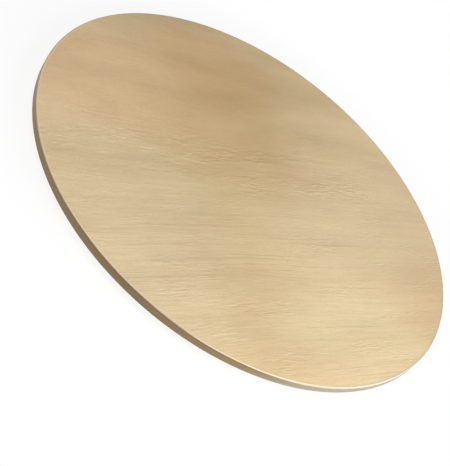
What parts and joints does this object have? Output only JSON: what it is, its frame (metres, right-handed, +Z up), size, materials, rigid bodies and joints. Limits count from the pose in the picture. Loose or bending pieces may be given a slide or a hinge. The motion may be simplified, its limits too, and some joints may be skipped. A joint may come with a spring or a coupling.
{
  "type": "lazy susan turntable",
  "caption": "Flat round wooden board that turns by hand on a hidden clear plastic ball bearing ring, for passing dishes at a dining table.",
  "frame": {"origin": "on the turning axis at the level of the table, centre of the pads' bottom faces", "axes": "+Z up along the turning axis; +X through the first screw and, in the face veneer, along the grain"},
  "size_m": [0.6, 0.6, 0.0209],
  "materials": {
    "face_veneer": "satin lacquer",
    "backing_veneer": "satin lacquer",
    "edge_band": "satin lacquer",
    "board_core": "raw fibreboard",
    "clear_plastic": "milky translucent moulding",
    "cage_plastic": "moulded",
    "ball_steel": "polished",
    "screw_steel": "zinc plated",
    "pad_rubber": "soft silicone"
  },
  "bodies": {
    "base": {"lower_race_ring": "clear_plastic", "foot_pad_01": "pad_rubber", "foot_pad_02": "pad_rubber", "foot_pad_03": "pad_rubber", "foot_pad_04": "pad_rubber", "foot_pad_05": "pad_rubber", "foot_pad_06": "pad_rubber"},
    "cage": {"ball_cage": "cage_plastic", "bearing_ball_01": "ball_steel", "bearing_ball_02": "ball_steel", "bearing_ball_03": "ball_steel", "bearing_ball_04": "ball_steel", "bearing_ball_05": "ball_steel", "bearing_ball_06": "ball_steel", "bearing_ball_07": "ball_steel", "bearing_ball_08": "ball_steel", "bearing_ball_09": "ball_steel", "bearing_ball_10": "ball_steel", "bearing_ball_11": "ball_steel", "bearing_ball_12": "ball_steel", "bearing_ball_13": "ball_steel", "bearing_ball_14": "ball_steel", "bearing_ball_15": "ball_steel", "bearing_ball_16": "ball_steel", "bearing_ball_17": "ball_steel", "bearing_ball_18": "ball_steel", "bearing_ball_19": "ball_steel", "bearing_ball_20": "ball_steel", "bearing_ball_21": "ball_steel", "bearing_ball_22": "ball_steel", "bearing_ball_23": "ball_steel", "bearing_ball_24": "ball_steel"},
    "platter": {"board_core": "board_core", "top_veneer": "face_veneer", "backing_veneer": "backing_veneer", "edge_band": "edge_band", "upper_race_ring": "clear_plastic", "mounting_screws": "screw_steel"}
  },
  "joints": [
    {"name": "platter_spin", "type": "hinge", "parent": "base", "child": "platter", "pos_m": [0, 0, 0.00595], "axis": [0, 0, 1], "continuous": true},
    {"name": "cage_spin", "type": "hinge", "parent": "base", "child": "cage", "pos_m": [0, 0, 0.00595], "axis": [0, 0, 1], "continuous": true}
  ],
  "couplings": [
    {"joint": "cage_spin", "follows": "platter_spin", "ratio": 0.5}
  ]
}
